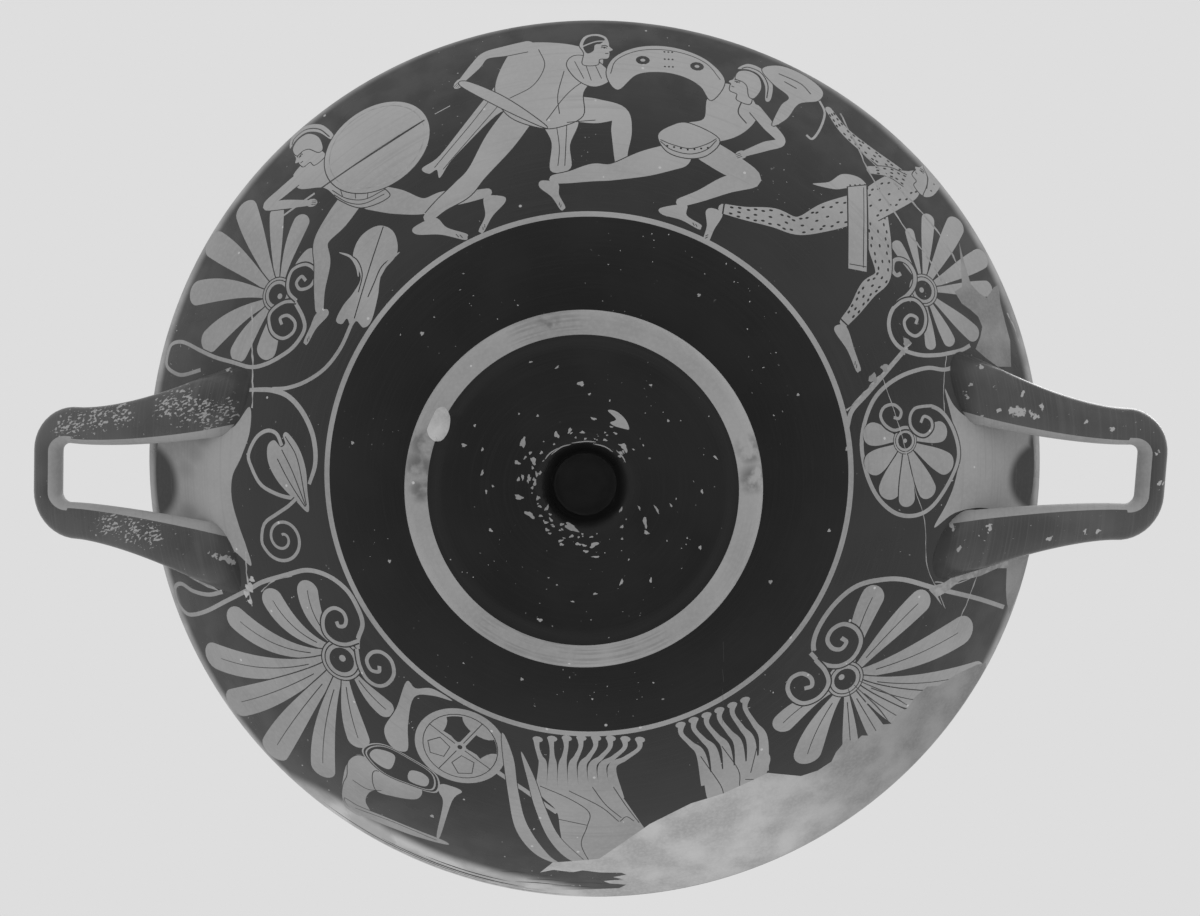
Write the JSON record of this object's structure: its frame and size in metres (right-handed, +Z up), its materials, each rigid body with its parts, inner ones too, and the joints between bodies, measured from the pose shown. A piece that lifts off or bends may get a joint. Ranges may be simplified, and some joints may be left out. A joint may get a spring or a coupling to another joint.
{
  "type": "greek kylix cup",
  "caption": "Broad shallow drinking bowl on a short stem and round foot, with two upswept horizontal loop handles.",
  "frame": {"origin": "under the middle of the whole cup, at table level", "axes": "+Z up; +X out through one handle, -X out through the other; the cup's turning axis stands 1.85 mm towards -X, because one handle reaches further"},
  "size_m": [0.4165, 0.3226, 0.128],
  "materials": {
    "black_gloss": "black gloss over orange-red clay, with figures and ornament left in the clay colour"
  },
  "bodies": {
    "root": {"kylix": "black_gloss"}
  },
  "joints": []
}
